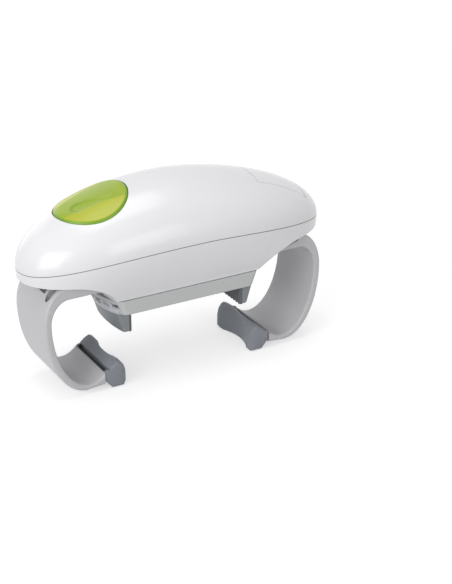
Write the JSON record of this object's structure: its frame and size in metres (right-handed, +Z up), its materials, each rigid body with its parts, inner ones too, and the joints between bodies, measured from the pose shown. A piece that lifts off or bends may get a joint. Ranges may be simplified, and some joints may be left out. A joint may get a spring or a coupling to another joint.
{
  "type": "electric jar opener",
  "caption": "Cordless jar opener: an egg-shaped housing with a round start button, sliding lid jaws on a turning carriage, and C-shaped arms that grip the jar.",
  "frame": {"origin": "centre of the underside of the lid stop pad, on the axis that the carriage turns about", "axes": "+X along the housing from the button end towards the battery end, +Y across it, +Z up"},
  "size_m": [0.1986, 0.076, 0.1213],
  "materials": {
    "housing_white": "glossy white moulded ABS",
    "button_green": "satin yellow-green moulded ABS",
    "arm_grey": "satin light grey moulded ABS",
    "pad_rubber": "matt dark slate soft rubber",
    "carriage_grey": "satin pale grey moulded ABS",
    "slider_grey": "satin light grey moulded ABS",
    "jaw_slate": "matt slate glass-filled nylon",
    "stop_rubber": "matt black rubber",
    "gear_nylon": "natural acetal",
    "frame_black": "black glass-filled nylon",
    "spacer_brass": "turned brass",
    "fastener_steel": "zinc-plated steel",
    "motor_steel": "drawn steel can",
    "contact_metal": "nickel-plated spring steel",
    "cell_wrap": "plain dark printed wrap",
    "board_green": "green circuit board",
    "switch_black": "black switch body",
    "washer_felt": "pressed felt"
  },
  "bodies": {
    "housing": {"top_shell": "housing_white", "bottom_shell": "housing_white", "lower_gear_plate": "frame_black", "upper_gear_plate": "frame_black", "plate_spacers": "spacer_brass", "spacer_screws": "fastener_steel", "plate_screws": "fastener_steel", "shell_screws": "fastener_steel", "gear_axles": "fastener_steel", "motor": "motor_steel", "motor_end_cap": "frame_black", "arm_pinion_axle": "fastener_steel", "battery_tub": "frame_black", "battery_contacts": "contact_metal", "aa_cell_near": "cell_wrap", "aa_cell_far": "cell_wrap", "control_board": "board_green", "board_pillars": "spacer_brass", "board_screws": "fastener_steel", "push_switch": "switch_black"},
    "door": {"battery_door": "housing_white"},
    "button": {"start_button": "button_green"},
    "motor_rotor": {"motor_pinion": "spacer_brass"},
    "first_gear": {"first_gear": "gear_nylon"},
    "second_gear": {"second_gear": "gear_nylon"},
    "third_gear": {"third_gear": "gear_nylon"},
    "carriage": {"carriage": "carriage_grey", "carriage_cover": "carriage_grey", "lid_stop_pad": "stop_rubber", "hub_retainer": "gear_nylon", "carriage_gear": "gear_nylon"},
    "left_arm": {"left_arm": "arm_grey", "left_arm_pad": "pad_rubber"},
    "right_arm": {"right_arm": "arm_grey", "right_arm_pad": "pad_rubber"},
    "arm_pinion": {"arm_pinion": "gear_nylon", "clutch_washer": "washer_felt"},
    "left_jaw": {"left_jaw_slider": "slider_grey", "left_lid_jaw": "jaw_slate", "left_jaw_grip": "stop_rubber", "left_jaw_screws": "fastener_steel"},
    "right_jaw": {"right_jaw_slider": "slider_grey", "right_lid_jaw": "jaw_slate", "right_jaw_grip": "stop_rubber", "right_jaw_screws": "fastener_steel"},
    "jaw_pinion": {"jaw_pinion": "gear_nylon"}
  },
  "joints": [
    {"name": "carriage_turn", "type": "hinge", "parent": "housing", "child": "carriage", "pos_m": [0, 0, 0], "axis": [0, 0, 1], "continuous": true},
    {"name": "third_gear_turn", "type": "hinge", "parent": "housing", "child": "third_gear", "pos_m": [-0.026, 0, 0], "axis": [0, 0, 1], "continuous": true},
    {"name": "second_gear_turn", "type": "hinge", "parent": "housing", "child": "second_gear", "pos_m": [-0.01252, 0.01131, 0], "axis": [0, 0, 1], "continuous": true},
    {"name": "first_gear_turn", "type": "hinge", "parent": "housing", "child": "first_gear", "pos_m": [-0.00879, -0.0026, 0], "axis": [0, 0, 1], "continuous": true},
    {"name": "motor_turn", "type": "hinge", "parent": "housing", "child": "motor_rotor", "pos_m": [0.00352, -0.00043, 0], "axis": [0, 0, 1], "continuous": true},
    {"name": "left_arm_slide", "type": "slide", "parent": "housing", "child": "left_arm", "axis": [1, 0, 0], "range_m": [-0.008, 0.02]},
    {"name": "right_arm_slide", "type": "slide", "parent": "housing", "child": "right_arm", "axis": [-1, 0, 0], "range_m": [-0.008, 0.02]},
    {"name": "arm_pinion_turn", "type": "hinge", "parent": "housing", "child": "arm_pinion", "pos_m": [0, 0, 0.022], "axis": [0, 0, 1], "range_deg": [-51, 128]},
    {"name": "left_jaw_slide", "type": "slide", "parent": "carriage", "child": "left_jaw", "axis": [1, 0, 0], "range_m": [-0.008, 0.018]},
    {"name": "right_jaw_slide", "type": "slide", "parent": "carriage", "child": "right_jaw", "axis": [-1, 0, 0], "range_m": [-0.008, 0.018]},
    {"name": "jaw_pinion_turn", "type": "hinge", "parent": "carriage", "child": "jaw_pinion", "pos_m": [0, 0, 0.007], "axis": [0, 0, 1], "range_deg": [-72, 162]},
    {"name": "button_press", "type": "slide", "parent": "housing", "child": "button", "axis": [0.274, 0, -0.9617], "range_m": [0, 0.0015], "stiffness_N_per_m": 600, "springref_m": -0.001},
    {"name": "door_lift", "type": "slide", "parent": "housing", "child": "door", "axis": [0, 0, 1], "range_m": [0, 0.025]}
  ],
  "couplings": [
    {"joint": "third_gear_turn", "follows": "carriage_turn", "ratio": -3.3333},
    {"joint": "second_gear_turn", "follows": "carriage_turn", "ratio": 8.8889},
    {"joint": "first_gear_turn", "follows": "carriage_turn", "ratio": -26.667},
    {"joint": "motor_turn", "follows": "carriage_turn", "ratio": 106.67},
    {"joint": "right_arm_slide", "follows": "left_arm_slide", "ratio": 1},
    {"joint": "arm_pinion_turn", "follows": "left_arm_slide", "rad_per_m": 111.11},
    {"joint": "right_jaw_slide", "follows": "left_jaw_slide", "ratio": 1},
    {"joint": "jaw_pinion_turn", "follows": "left_jaw_slide", "rad_per_m": 156.25}
  ]
}
